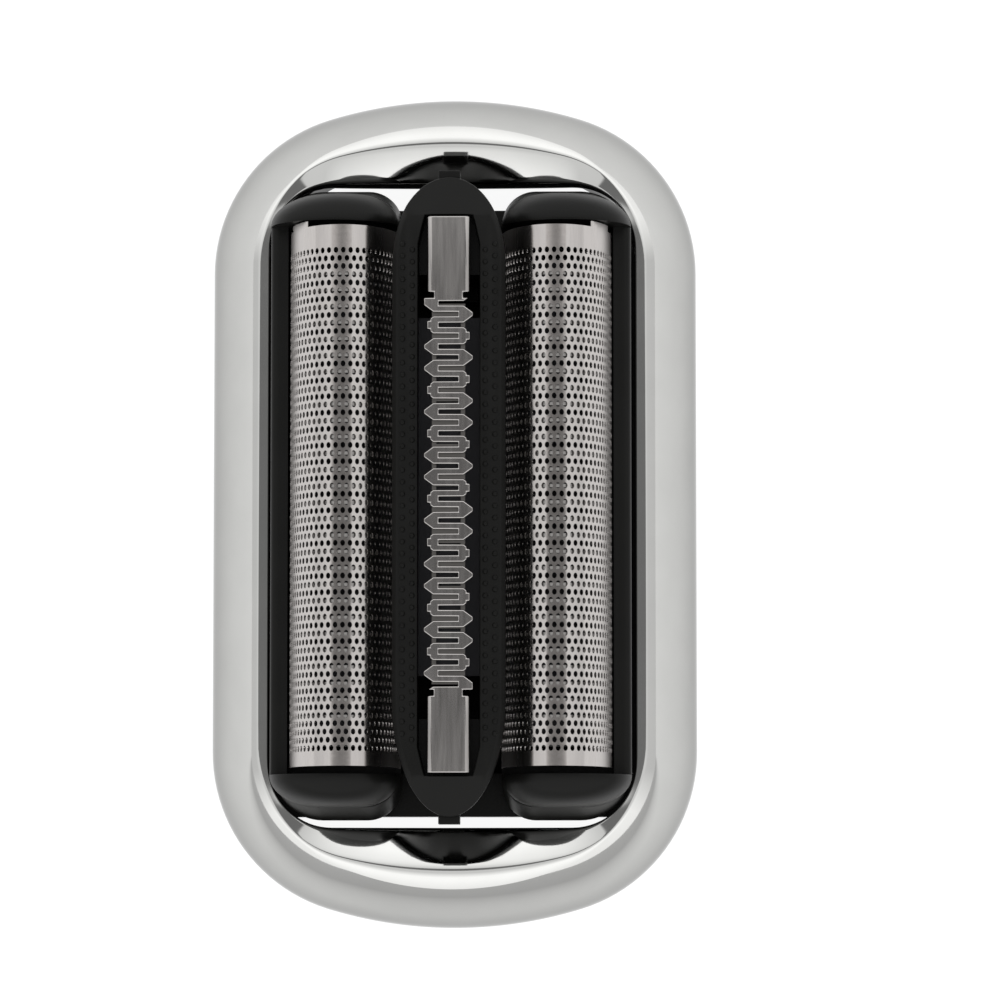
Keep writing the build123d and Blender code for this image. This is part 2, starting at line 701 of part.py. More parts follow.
with BuildPart() as trimmer_spring_rear:
    coil(0, shelf_y, cross_top)
trimmer_spring_rear.part.label = "trimmer_spring_rear"
export_step(trimmer_spring_rear.part, "parts/trimmer_spring_rear.step")
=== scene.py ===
import math

import bmesh
import bpy
from mathutils import Matrix, Vector


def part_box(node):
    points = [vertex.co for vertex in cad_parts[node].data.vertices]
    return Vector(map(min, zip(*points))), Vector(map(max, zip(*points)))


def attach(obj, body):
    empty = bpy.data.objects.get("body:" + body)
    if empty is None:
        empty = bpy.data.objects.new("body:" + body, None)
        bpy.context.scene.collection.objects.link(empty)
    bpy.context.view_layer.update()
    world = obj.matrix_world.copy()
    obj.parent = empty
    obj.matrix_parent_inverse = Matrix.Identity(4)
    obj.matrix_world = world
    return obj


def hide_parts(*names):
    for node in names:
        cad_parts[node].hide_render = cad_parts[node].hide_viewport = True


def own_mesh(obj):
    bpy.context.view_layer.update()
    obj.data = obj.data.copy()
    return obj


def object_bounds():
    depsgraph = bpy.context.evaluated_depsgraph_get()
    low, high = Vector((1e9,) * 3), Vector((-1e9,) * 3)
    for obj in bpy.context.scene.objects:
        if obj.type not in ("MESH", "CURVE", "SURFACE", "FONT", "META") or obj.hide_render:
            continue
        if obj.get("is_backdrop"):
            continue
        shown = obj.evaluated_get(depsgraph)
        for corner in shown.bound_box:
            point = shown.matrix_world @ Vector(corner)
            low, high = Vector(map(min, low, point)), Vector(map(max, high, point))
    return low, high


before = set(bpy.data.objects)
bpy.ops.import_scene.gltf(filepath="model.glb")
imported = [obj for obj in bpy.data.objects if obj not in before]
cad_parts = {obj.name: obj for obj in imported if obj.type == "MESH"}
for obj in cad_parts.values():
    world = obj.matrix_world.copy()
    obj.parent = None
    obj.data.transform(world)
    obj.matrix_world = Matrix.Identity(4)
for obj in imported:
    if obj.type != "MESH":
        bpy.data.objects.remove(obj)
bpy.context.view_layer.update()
mm = 0.001  # pieces are shaped in millimetres and brought to metres when they are finished
mergeDistance = 0.002  # in mm, vertices nearer than this become one
slack = 0.01  # in mm, for picking edges by their place
quarterTurn = math.pi / 2


def boxInMm(node):
    low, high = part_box(node)
    return low / mm, high / mm


def deselectAll():
    if bpy.context.object and bpy.context.object.mode != "OBJECT":
        bpy.ops.object.mode_set(mode="OBJECT")
    bpy.ops.object.select_all(action="DESELECT")


def makeActive(piece):
    deselectAll()
    piece.select_set(True)
    bpy.context.view_layer.objects.active = piece


def openPiece(piece):  # edit mode with all of it selected
    makeActive(piece)
    bpy.ops.object.mode_set(mode="EDIT")
    bpy.ops.mesh.select_all(action="SELECT")


def startPiece(name):  # names the primitive that was just added and opens it for editing
    piece = bpy.context.object
    piece.name = name
    piece.data.name = name
    bpy.ops.object.transform_apply(location=True, rotation=True, scale=True)
    bpy.ops.object.mode_set(mode="EDIT")
    return piece


def editedMesh(piece):
    return bmesh.from_edit_mesh(piece.data)


def pickEdges(piece, wanted):  # edge select by place, in edit mode
    bpy.ops.mesh.select_mode(type="EDGE")
    bpy.ops.mesh.select_all(action="DESELECT")
    shape = editedMesh(piece)
    for edge in shape.edges:
        if wanted(edge):
            edge.select_set(True)
    bmesh.update_edit_mesh(piece.data)


def moveSelected(piece, place):  # sets each selected vertex to where place() says
    shape = editedMesh(piece)
    for vertex in shape.verts:
        if vertex.select:
            vertex.co = place(vertex)
    bmesh.update_edit_mesh(piece.data)


def faceOutwards():
    bpy.ops.mesh.select_all(action="SELECT")
    bpy.ops.mesh.normals_make_consistent(inside=False)


def applyModifier(piece, kind, **settings):
    makeActive(piece)
    modifier = piece.modifiers.new(kind.title(), kind)
    for name, value in settings.items():
        setattr(modifier, name, value)
    bpy.ops.object.modifier_apply(modifier=modifier.name)


def setOut(piece, count, step):  # copies in a row, each a step further
    applyModifier(
        piece, "ARRAY", count=count, use_relative_offset=False, use_constant_offset=True,
        constant_offset_displace=step)


def roundEdges(piece, width, angle):  # rounds every edge that is sharper than the angle
    applyModifier(
        piece, "BEVEL", width=width, segments=3, limit_method="ANGLE", angle_limit=math.radians(angle),
        use_clamp_overlap=True)


def copyOfNode(node, name):  # a CAD solid as a new mesh in mm, its loose triangles merged into whole faces
    flatWithin = math.radians(0.6)
    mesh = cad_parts[node].data.copy()
    mesh.transform(Matrix.Scale(1 / mm, 4))
    mesh.name = name
    piece = bpy.data.objects.new(name, mesh)
    bpy.context.scene.collection.objects.link(piece)
    openPiece(piece)
    bpy.ops.mesh.remove_doubles(threshold=mergeDistance)
    bpy.ops.mesh.dissolve_limited(angle_limit=flatWithin)
    bpy.ops.object.mode_set(mode="OBJECT")
    if mesh.has_custom_normals:
        bpy.ops.mesh.customdata_custom_splitnormals_clear()
    return piece


def mirroredCopy(piece, name):  # the same piece for the other side of the head
    copied = bpy.data.objects.new(name, piece.data.copy())
    copied.data.name = name
    bpy.context.scene.collection.objects.link(copied)
    copied.scale = (-1, 1, 1)
    makeActive(copied)
    bpy.ops.object.transform_apply(location=True, rotation=True, scale=True)
    openPiece(copied)
    bpy.ops.mesh.flip_normals()
    bpy.ops.object.mode_set(mode="OBJECT")
    return copied


def finishPiece(piece, material, body, nodes=(), smoothAngle=35, flatFaces=False):
    makeActive(piece)
    bpy.ops.object.shade_smooth_by_angle(angle=math.radians(smoothAngle))
    piece.scale = (mm, mm, mm)
    bpy.ops.object.transform_apply(location=True, rotation=True, scale=True)
    if flatFaces:  # keeps wide flat faces flat beside their rounded edges
        applyModifier(piece, "WEIGHTED_NORMAL", keep_sharp=True, weight=60)
    piece.data.materials.clear()
    piece.data.materials.append(material)
    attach(piece, body)
    if nodes:
        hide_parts(*nodes)
    print("finished", piece.name, "faces:", len(piece.data.polygons))


# Materials: lengths in mm, colours in sRGB hex
mixFirst, mixSecond, mixOut = 6, 7, 2  # colour sockets of a Mix node


def linear(hexColour):
    channels = [int(hexColour[i:i + 2], 16) / 255 for i in (1, 3, 5)]
    return [c / 12.92 if c <= 0.04045 else ((c + 0.055) / 1.055) ** 2.4 for c in channels] + [1]


def addNode(tree, kind, settings, links=()):
    node = tree.nodes.new(kind)
    for name, value in settings.items():
        if isinstance(name, str) and hasattr(node, name):
            setattr(node, name, value)
        else:
            node.inputs[name].default_value = value
    for name, source in links:
        tree.links.new(source, node.inputs[name])
    return node


def startMaterial(name, **sockets):
    material = bpy.data.materials.new(name)
    material.use_nodes = True
    shader = material.node_tree.nodes["Principled BSDF"]
    for socket, value in sockets.items():
        shader.inputs[socket.replace("_", " ")].default_value = value
    return material, material.node_tree, shader


def linkShader(tree, shader, tone, rough, bump):
    tree.links.new(tone, shader.inputs["Base Color"])
    tree.links.new(rough, shader.inputs["Roughness"])
    tree.links.new(bump, shader.inputs["Normal"])


def grainScale(across, along):  # a grain that runs along the head
    return 1 / (across * mm), 1 / (along * mm), 1 / (across * mm)


chromeLook = {
    "tones": ("#b8b8b6", "#c0c0be"), "edgeTint": "#cccccc", "haze": 3, "roughness": (0.03, 0.07),
    "wave": 9, "waveDepth": 0.05, "waveStrength": 0.12,
}


def brightChrome(name, look):
    # chromium plated on a polished ABS moulding: a mirror with a slow waviness left by the moulding
    material, tree, shader = startMaterial(name, Metallic=1.0, Specular_Tint=linear(look["edgeTint"]))
    place = addNode(tree, "ShaderNodeTexCoord", {}).outputs["Object"]
    wave = addNode(
        tree, "ShaderNodeTexNoise", {"Scale": 1 / (look["wave"] * mm), "Detail": 1.0}, [("Vector", place)])
    bump = addNode(
        tree, "ShaderNodeBump", {"Strength": look["waveStrength"], "Distance": look["waveDepth"] * mm},
        [("Height", wave.outputs["Fac"])])
    haze = addNode(
        tree, "ShaderNodeTexNoise", {"Scale": 1 / (look["haze"] * mm), "Detail": 3.0}, [("Vector", place)])
    film = addNode(
        tree, "ShaderNodeMapRange", {"To Min": look["roughness"][0], "To Max": look["roughness"][1]},
        [("Value", haze.outputs["Fac"])])
    dull, bright = look["tones"]
    tone = addNode(
        tree, "ShaderNodeMix", {"data_type": "RGBA", mixFirst: linear(dull), mixSecond: linear(bright)},
        [("Factor", haze.outputs["Fac"])])
    linkShader(tree, shader, tone.outputs[mixOut], film.outputs["Result"], bump.outputs["Normal"])
    return material


mouldLook = {
    "ior": 1.43, "gloss": 0.13, "handling": 4, "smoother": 0.06, "rougher": 0.08,
    "pitDepth": 0.02, "pitStrength": 0.25,
}


def satinMoulding(name, dark, pale, roughness, grain):
    # plastic moulded against a spark-eroded steel face: a fine even grain that breaks up the gloss
    look = mouldLook
    material, tree, shader = startMaterial(name, IOR=look["ior"], Specular_IOR_Level=look["gloss"])
    place = addNode(tree, "ShaderNodeTexCoord", {}).outputs["Object"]
    pits = addNode(
        tree, "ShaderNodeTexVoronoi", {"Scale": 1 / (grain * mm), "feature": "SMOOTH_F1"},
        [("Vector", place)])
    handling = addNode(
        tree, "ShaderNodeTexNoise", {"Scale": 1 / (look["handling"] * mm), "Detail": 4.0},
        [("Vector", place)])
    tone = addNode(
        tree, "ShaderNodeMix", {"data_type": "RGBA", mixFirst: linear(dark), mixSecond: linear(pale)},
        [("Factor", handling.outputs["Fac"])])
    rough = addNode(
        tree, "ShaderNodeMapRange",
        {"To Min": roughness - look["smoother"], "To Max": roughness + look["rougher"]},
        [("Value", handling.outputs["Fac"])])
    bump = addNode(
        tree, "ShaderNodeBump", {"Strength": look["pitStrength"], "Distance": look["pitDepth"] * mm},
        [("Height", pits.outputs["Distance"])])
    linkShader(tree, shader, tone.outputs[mixOut], rough.outputs["Result"], bump.outputs["Normal"])
    return material


nickelLook = {
    "worn": ("#96918e", "#b4afac"), "fresh": ("#b0acaa", "#bdb9b6"), "grainAcross": 0.12, "grainAlong": 1.5,
    "crownInner": 0.62, "crownOuter": 0.76, "mottle": 0.35, "crownPolish": -0.04,
    "flankFrom": 2.2, "flankTo": 3.3, "topRoughness": 0.15, "flankRoughness": 0.4,
    "grainDepth": 0.01, "grainStrength": 0.1,
}


def foilNickel(name, middle):
    # nickel grown by electroforming: near mirror and faintly warm, with dull flanks and a darker, mottled
    # strip along the crown
    look = nickelLook
    material, tree, shader = startMaterial(name, Metallic=1.0)
    place = addNode(tree, "ShaderNodeTexCoord", {}).outputs["Object"]
    grain = addNode(
        tree, "ShaderNodeMapping", {"Scale": grainScale(look["grainAcross"], look["grainAlong"])},
        [("Vector", place)])
    streaks = addNode(
        tree, "ShaderNodeTexNoise", {"Scale": 1.0, "Detail": 3.0}, [("Vector", grain.outputs["Vector"])])
    split = addNode(tree, "ShaderNodeSeparateXYZ", {}, [("Vector", place)])
    across = addNode(
        tree, "ShaderNodeMath", {"operation": "SUBTRACT", 1: middle * mm}, [(0, split.outputs["X"])])
    distance = addNode(tree, "ShaderNodeMath", {"operation": "ABSOLUTE"}, [(0, across.outputs[0])])
    crown = addNode(
        tree, "ShaderNodeMapRange",
        {"From Min": look["crownInner"] * mm, "From Max": look["crownOuter"] * mm,
         "To Min": 1.0, "To Max": 0.0},
        [("Value", distance.outputs[0])])
    mottle = addNode(
        tree, "ShaderNodeTexNoise", {"Scale": 1 / (look["mottle"] * mm), "Detail": 4.0}, [("Vector", place)])
    crownDark, crownPale = look["worn"]
    worn = addNode(
        tree, "ShaderNodeMix",
        {"data_type": "RGBA", mixFirst: linear(crownDark), mixSecond: linear(crownPale)},
        [("Factor", mottle.outputs["Fac"])])
    freshDark, freshPale = look["fresh"]
    fresh = addNode(
        tree, "ShaderNodeMix",
        {"data_type": "RGBA", mixFirst: linear(freshDark), mixSecond: linear(freshPale)},
        [("Factor", streaks.outputs["Fac"])])
    tone = addNode(
        tree, "ShaderNodeMix", {"data_type": "RGBA"},
        [("Factor", crown.outputs["Result"]),
         (mixFirst, fresh.outputs[mixOut]), (mixSecond, worn.outputs[mixOut])])
    flank = addNode(
        tree, "ShaderNodeMapRange",
        {"From Min": look["flankFrom"] * mm, "From Max": look["flankTo"] * mm,
         "To Min": look["topRoughness"], "To Max": look["flankRoughness"]},
        [("Value", distance.outputs[0])])
    rough = addNode(
        tree, "ShaderNodeMath", {"operation": "MULTIPLY_ADD", 1: look["crownPolish"]},
        [(0, crown.outputs["Result"]), (2, flank.outputs["Result"])])
    bump = addNode(
        tree, "ShaderNodeBump", {"Strength": look["grainStrength"], "Distance": look["grainDepth"] * mm},
        [("Height", streaks.outputs["Fac"])])
    linkShader(tree, shader, tone.outputs[mixOut], rough.outputs[0], bump.outputs["Normal"])
    return material


steelLook = {"smoother": 0.05, "rougher": 0.08, "scratchDepth": 0.01, "scratchStrength": 0.2}


def groundSteel(name, dark, pale, roughness, grainAcross, grainAlong):
    # strip or wire steel, ground or drawn: fine scratches run one way and stretch the highlights across them
    look = steelLook
    material, tree, shader = startMaterial(name, Metallic=1.0)
    place = addNode(tree, "ShaderNodeTexCoord", {}).outputs["Object"]
    grain = addNode(
        tree, "ShaderNodeMapping", {"Scale": grainScale(grainAcross, grainAlong)}, [("Vector", place)])
    scratches = addNode(
        tree, "ShaderNodeTexNoise", {"Scale": 1.0, "Detail": 4.0}, [("Vector", grain.outputs["Vector"])])
    tone = addNode(
        tree, "ShaderNodeMix", {"data_type": "RGBA", mixFirst: linear(dark), mixSecond: linear(pale)},
        [("Factor", scratches.outputs["Fac"])])
    rough = addNode(
        tree, "ShaderNodeMapRange",
        {"To Min": roughness - look["smoother"], "To Max": roughness + look["rougher"]},
        [("Value", scratches.outputs["Fac"])])
    bump = addNode(
        tree, "ShaderNodeBump", {"Strength": look["scratchStrength"], "Distance": look["scratchDepth"] * mm},
        [("Height", scratches.outputs["Fac"])])
    linkShader(tree, shader, tone.outputs[mixOut], rough.outputs["Result"], bump.outputs["Normal"])
    return material


chrome = brightChrome("chromePlatedMoulding", chromeLook)
blackPlastic = satinMoulding("satinBlackMoulding", "#090908", "#0f0f0e", roughness=0.34, grain=0.12)
drivePlastic = satinMoulding("plainGreyAcetalMoulding", "#28282a", "#323235", roughness=0.5, grain=0.2)
combSteel = groundSteel(
    "stampedCombSteel", "#94918f", "#9e9b99", roughness=0.1, grainAcross=0.25, grainAlong=4.0)
bladeSteel = groundSteel(
    "groundBladeSteel", "#7f7d7b", "#949290", roughness=0.35, grainAcross=0.6, grainAlong=0.06)
# the trimmer blade's steel in darker tones than the lamellae's: painted shade where it lies under the comb
shadedSteel = groundSteel(
    "shadeDarkenedTrimmerBladeSteel", "#4c4a48", "#5a5856", roughness=0.35, grainAcross=0.6, grainAlong=0.06)
springSteel = groundSteel(
    "drawnSpringWire", "#9c9da0", "#b4b5b8", roughness=0.3, grainAcross=0.1, grainAlong=0.1)
print("materials made")


# Outer ring: one loop drawn up from the rim, over the ridge, down to the opening and back inside
ringBox = boxInMm("outer_ring")
ring = {
    "halfWidth": ringBox[1].x, "halfLength": ringBox[1].y, "height": ringBox[1].z,
    "cornerRadius": 11.8, "endRadius": 31.2,  # outline: straight sides, corners and gently rounded ends
    "openingHalfWidth": 13.0, "openingHalfLength": 22.9, "openingCorner": 4.5,
    "deepest": 12.0, "halvings": 40,  # for the search of the opening's edge
    "bellyHeight": 7.5, "rimInset": 1.0,
    "ridgeInset": 3.4, "ridgeDraw": 0.34, "ridgeRound": 0.14, "ridgeShare": 0.075,
    "rollReach": 3.8, "rollDrop": 1.05, "rollTilt": math.radians(8), "sideFall": 0.2, "sideFade": 4,
    "lipShare": 0.135, "lipDrop": 1.5, "wall": 1.4, "lipWall": 1.1,
    "sideSteps": 10, "cornerSteps": 22, "endSteps": 22,  # round the outline
    "footSteps": 6, "bellySteps": 10, "ridgeSteps": 12, "rollSteps": 10, "lipSteps": 5, "innerSteps": 6,
}
ring["cornerX"] = ring["halfWidth"] - ring["cornerRadius"]
ring["endY"] = ring["halfLength"] - ring["endRadius"]
centreReach = ring["endRadius"] - ring["cornerRadius"]  # between the centres of an end and a corner
ring["cornerY"] = ring["endY"] + math.sqrt(centreReach ** 2 - ring["cornerX"] ** 2)
ring["touchAngle"] = math.atan2(ring["cornerY"] - ring["endY"], ring["cornerX"])
ring["sideDepth"] = ring["halfWidth"] - ring["openingHalfWidth"]
ring["endDepth"] = ring["halfLength"] - ring["openingHalfLength"]
rollChord = math.atan2(ring["rollDrop"], ring["rollReach"])
rollLength = math.hypot(ring["rollDrop"], ring["rollReach"])
ring["rollRadius"] = rollLength / (2 * math.sin(rollChord - ring["rollTilt"]))
ring["rollLead"] = ring["rollRadius"] * math.sin(ring["rollTilt"])  # from the roll's centre in to the ridge


def ringQuarter():  # (point on the outline, direction outwards) from the middle of a side to that of an end
    stations = []
    for step in range(ring["sideSteps"]):
        along = ring["cornerY"] * step / ring["sideSteps"]
        stations.append((Vector((ring["halfWidth"], along, 0)), Vector((1, 0, 0))))
    cornerCentre = Vector((ring["cornerX"], ring["cornerY"], 0))
    for step in range(ring["cornerSteps"]):
        turn = ring["touchAngle"] * step / ring["cornerSteps"]
        outwards = Vector((math.cos(turn), math.sin(turn), 0))
        stations.append((cornerCentre + outwards * ring["cornerRadius"], outwards))
    endCentre = Vector((0, ring["endY"], 0))
    for step in range(ring["endSteps"]):
        turn = ring["touchAngle"] + (quarterTurn - ring["touchAngle"]) * step / ring["endSteps"]
        outwards = Vector((math.cos(turn), math.sin(turn), 0))
        stations.append((endCentre + outwards * ring["endRadius"], outwards))
    return stations


def ringStations():
    first = ringQuarter()
    middleOfEnd = (Vector((0, ring["halfLength"], 0)), Vector((0, 1, 0)))
    half = first + [middleOfEnd] + [
        (Vector((-p.x, p.y, 0)), Vector((-d.x, d.y, 0))) for p, d in reversed(first)]
    return half + [(-p, -d) for p, d in half[1:-1]]


def openingDepth(point, outwards):  # from the outline in to the edge of the opening, at a station
    cornerX = ring["openingHalfWidth"] - ring["openingCorner"]
    cornerY = ring["openingHalfLength"] - ring["openingCorner"]
    near, far = 0.0, ring["deepest"]
    for halving in range(ring["halvings"]):
        middle = (near + far) / 2
        spot = point - outwards * middle
        x, y = abs(spot.x), abs(spot.y)
        inside = x < ring["openingHalfWidth"] and y < ring["openingHalfLength"]
        if x > cornerX and y > cornerY:
            inside = math.hypot(x - cornerX, y - cornerY) < ring["openingCorner"]
        near, far = (near, middle) if inside else (middle, far)
    return (near + far) / 2


def rollHeight(depth, inset, fall):
    reach = max(depth - inset, 0) + ring["rollLead"]
    drop = ring["rollRadius"] * math.cos(ring["rollTilt"]) - math.sqrt(ring["rollRadius"] ** 2 - reach ** 2)
    return ring["height"] - fall * drop


def ringProfile(opening):  # (depth in from the outline, height) from the rim up, over and back down inside
    belly, height = ring["bellyHeight"], ring["height"]
    depthRange = ring["endDepth"] - ring["sideDepth"]
    endShare = (opening - ring["sideDepth"]) / depthRange  # 0 at a side, 1 at an end
    inset = ring["ridgeInset"] + ring["ridgeDraw"] * (1 - endShare)  # the ridge draws in along the sides
    fall = 1 - (1 - ring["sideFall"]) * (1 - endShare) ** ring["sideFade"]  # there the roll lies nearly flat
    lip = ring["lipShare"] * (opening - inset)
    ridge = max(ring["ridgeRound"], ring["ridgeShare"] * (opening - inset) ** 2)  # rounder on a wide roll
    profile = []
    footRadius = (ring["rimInset"] ** 2 + belly ** 2) / (2 * ring["rimInset"])
    for step in range(ring["footSteps"]):
        drop = belly * (1 - step / ring["footSteps"])
        profile.append((footRadius - math.sqrt(footRadius ** 2 - drop ** 2), belly - drop))
    rise = height - belly
    flankRadius = (inset ** 2 + rise ** 2) / (2 * inset)
    flankTurn = math.asin(rise / flankRadius)
    cut = ridge / flankRadius
    for step in range(ring["bellySteps"] + 1):
        turn = (flankTurn - cut) * step / ring["bellySteps"]
        profile.append((flankRadius * (1 - math.cos(turn)), belly + flankRadius * math.sin(turn)))
    start, corner = profile[-1], (inset, height)
    end = (inset + ridge, rollHeight(inset + ridge, inset, fall))
    for step in range(1, ring["ridgeSteps"]):  # the ridge is a curve between the two faces
        t = step / ring["ridgeSteps"]
        profile.append(tuple(
            (1 - t) ** 2 * a + 2 * t * (1 - t) * b + t * t * c for a, b, c in zip(start, corner, end)))
    for step in range(ring["rollSteps"] + 1):
        depth = end[0] + (opening - lip - end[0]) * step / ring["rollSteps"]
        profile.append((depth, rollHeight(depth, inset, fall)))
    rollTurn = math.asin((opening - lip - inset + ring["rollLead"]) / ring["rollRadius"])
    slope = math.atan(fall * math.tan(rollTurn))
    curve = lip / (1 - math.sin(slope))
    for step in range(1, ring["lipSteps"] + 1):  # the lip turns down into the opening
        turn = slope + (quarterTurn - slope) * step / ring["lipSteps"]
        depth = opening - lip + curve * (math.sin(turn) - math.sin(slope))
        drop = curve * (math.cos(slope) - math.cos(turn))
        profile.append((depth, rollHeight(opening - lip, inset, fall) - drop))
    underRidge = height - ring["wall"]
    underFall = (ring["wall"] - ring["lipDrop"] - ring["lipWall"]) / ring["rollReach"]
    profile.append((opening, underRidge + underFall * (opening - inset)))
    profile.append((inset, underRidge))
    innerRise, innerReach = underRidge - belly, inset - ring["wall"]
    innerRadius = (innerReach ** 2 + innerRise ** 2) / (2 * innerReach)
    for step in reversed(range(ring["innerSteps"])):
        turn = math.asin(innerRise / innerRadius) * step / ring["innerSteps"]
        depth = ring["wall"] + innerRadius * (1 - math.cos(turn))
        profile.append((depth, belly + innerRadius * math.sin(turn)))
    profile.append((ring["rimInset"] + ring["wall"], 0.0))
    return profile


stations = ringStations()
profiles = [ringProfile(openingDepth(*station)) for station in stations]
deselectAll()
bpy.ops.mesh.primitive_circle_add(vertices=len(stations), radius=ring["halfWidth"])
outerRing = startPiece("outerRing")
shape = editedMesh(outerRing)
column = shape.verts.layers.int.new("column")
for number, vertex in enumerate(shape.verts):
    vertex[column] = number
bmesh.update_edit_mesh(outerRing.data)


def ringSpot(vertex, row):
    number = vertex[editedMesh(outerRing).verts.layers.int["column"]]
    point, outwards = stations[number]
    depth, height = profiles[number][row]
    return point - outwards * depth + Vector((0, 0, height))


bpy.ops.mesh.select_all(action="SELECT")
moveSelected(outerRing, lambda vertex: ringSpot(vertex, 0))
for row in range(1, len(profiles[0])):
    bpy.ops.mesh.extrude_region_move()
    moveSelected(outerRing, lambda vertex: ringSpot(vertex, row))
pickEdges(outerRing, lambda edge: edge.is_boundary)
bpy.ops.mesh.bridge_edge_loops()
faceOutwards()
bpy.ops.object.mode_set(mode="OBJECT")
outerRing.data.attributes.remove(outerRing.data.attributes["column"])
finishPiece(outerRing, chrome, "cassette", ["outer_ring"], smoothAngle=50)


# Foils: one hexagonal cell with its hole, set out in staggered rows, given plain margins, bent over the arch
foilBox = boxInMm("right_foil")
foil = {
    "columnPitch": 0.515, "rowPitch": 0.567, "columns": 30, "rows": 62,
    "holeWidth": 0.33, "holeHeight": 0.42, "cellInset": 0.05, "thickness": 0.08,
    "halfWidth": (foilBox[1].x - foilBox[0].x) / 2, "middle": (foilBox[1].x + foilBox[0].x) / 2,
    "top": foilBox[1].z, "bottom": foilBox[0].z, "archRise": 7.0, "archSteps": 400, "marginSteps": 6,
    "end": -foilBox[0].y, "tabEnd": foilBox[1].y, "tabFrom": 2.5, "tabTo": 3.6,
}


def archTable():  # length along the arch from its crown, against the turn that gives each point
    lengths, last = [0.0], Vector((0, foil["archRise"]))
    for step in range(1, foil["archSteps"] + 1):
        turn = quarterTurn * step / foil["archSteps"]
        spot = Vector((foil["halfWidth"] * math.sin(turn), foil["archRise"] * math.cos(turn)))
        lengths.append(lengths[-1] + (spot - last).length)
        last = spot
    return lengths


archLengths = archTable()


def archSpot(along):  # place across the arch at a length from the crown, past its foot straight down
    side, along = (1 if along >= 0 else -1), abs(along)
    spring = foil["top"] - foil["archRise"]
    if along >= archLengths[-1]:
        return side * foil["halfWidth"], spring - (along - archLengths[-1])
    step = next(i for i, length in enumerate(archLengths) if length > along)
    share = (along - archLengths[step - 1]) / (archLengths[step] - archLengths[step - 1])
    turn = quarterTurn * (step - 1 + share) / foil["archSteps"]
    return side * foil["halfWidth"] * math.sin(turn), spring + foil["archRise"] * math.cos(turn)


def archLength(across):  # length along the arch to a place across it
    turn = math.asin(across / foil["halfWidth"])
    return archLengths[round(turn / quarterTurn * foil["archSteps"])]


deselectAll()
peak = foil["rowPitch"] * 2 / 3  # from the middle of a cell to its point
bpy.ops.mesh.primitive_circle_add(vertices=6, radius=peak, fill_type="NGON")
rightFoil = startPiece("rightFoil")
bpy.ops.mesh.select_all(action="SELECT")
bpy.ops.transform.resize(value=(foil["columnPitch"] / (math.sqrt(3) * peak), 1, 1))
bpy.ops.mesh.subdivide(number_cuts=1)
bpy.ops.mesh.select_all(action="SELECT")
bpy.ops.mesh.inset(thickness=foil["cellInset"], depth=0)  # the inner loop is then drawn to the hole's outline


def holeSpot(vertex):
    turn = math.atan2(vertex.co.y / foil["holeHeight"], vertex.co.x / foil["holeWidth"])
    return Vector((math.cos(turn) * foil["holeWidth"] / 2, math.sin(turn) * foil["holeHeight"] / 2, 0))


moveSelected(rightFoil, holeSpot)
shape = editedMesh(rightFoil)
holeMark = shape.verts.layers.int.new("hole")
for vertex in shape.verts:
    vertex[holeMark] = 1 if vertex.select else 0
bmesh.update_edit_mesh(rightFoil.data)
bpy.ops.mesh.delete(type="ONLY_FACE")
bpy.ops.mesh.select_all(action="SELECT")
nextRow = (foil["columnPitch"] / 2, foil["rowPitch"], 0)
bpy.ops.mesh.duplicate_move(TRANSFORM_OT_translate={"value": nextRow})
setOut(rightFoil, foil["columns"], (foil["columnPitch"], 0, 0))
setOut(rightFoil, foil["rows"] // 2, (0, 2 * foil["rowPitch"], 0))
openPiece(rightFoil)
bpy.ops.mesh.remove_doubles(threshold=mergeDistance)
patternWidth = (foil["columns"] - 0.5) * foil["columnPitch"]
patternLength = (foil["rows"] - 1) * foil["rowPitch"]
patternShift = -foil["rowPitch"] / 2  # brings every second row over a lamella
bpy.ops.transform.translate(value=(-patternWidth / 2, patternShift - patternLength / 2, 0))


def isMargin(edge):  # on the outside of the sheet, not round a hole
    mark = editedMesh(rightFoil).verts.layers.int["hole"]
    return edge.is_boundary and not any(vertex[mark] for vertex in edge.verts)


def midway(edge):
    return (edge.verts[0].co + edge.verts[1].co) / 2


def isCrest(edge, end):  # beyond the last row of holes
    crestRow = patternLength / 2 + foil["rowPitch"] / 3 - slack
    return isMargin(edge) and end * (midway(edge).y - patternShift) > crestRow


def isFlank(edge, side):  # along the holes and bands, without the ends
    sideMargin = patternWidth / 2 - foil["columnPitch"] / 4
    middle = midway(edge)
    return isMargin(edge) and side * middle.x > sideMargin and abs(middle.y) < foil["end"] - slack


def isTab(edge):  # the stretch of the rear end that is drawn out to a tab
    across, along = midway(edge).x, midway(edge).y
    return (isMargin(edge) and along > foil["end"] - slack
            and archLength(foil["tabFrom"]) < across < archLength(foil["tabTo"]))


for end in (-1, 1):  # plain bands at the ends
    pickEdges(rightFoil, lambda edge: isCrest(edge, end))
    bpy.ops.mesh.extrude_region_move()
    moveSelected(rightFoil, lambda vertex: Vector((vertex.co.x, end * foil["end"], 0)))
footAlong = archLengths[-1] + foil["top"] - foil["archRise"] - foil["bottom"]
flankFrom = patternWidth / 2 + foil["columnPitch"]
flankReach = footAlong - patternWidth / 2 - foil["columnPitch"]
for side in (-1, 1):  # plain flanks down to the frame
    pickEdges(rightFoil, lambda edge: isFlank(edge, side))
    for step in range(1, foil["marginSteps"] + 1):
        bpy.ops.mesh.extrude_region_move()
        along = flankFrom + flankReach * step / foil["marginSteps"]
        moveSelected(rightFoil, lambda vertex: Vector((side * along, vertex.co.y, 0)))
pickEdges(rightFoil, isTab)
bpy.ops.mesh.extrude_region_move()
moveSelected(rightFoil, lambda vertex: Vector((vertex.co.x, foil["tabEnd"], 0)))
bpy.ops.mesh.select_all(action="SELECT")


def bentSpot(vertex):
    across, height = archSpot(vertex.co.x)
    return Vector((foil["middle"] + across, vertex.co.y, height))


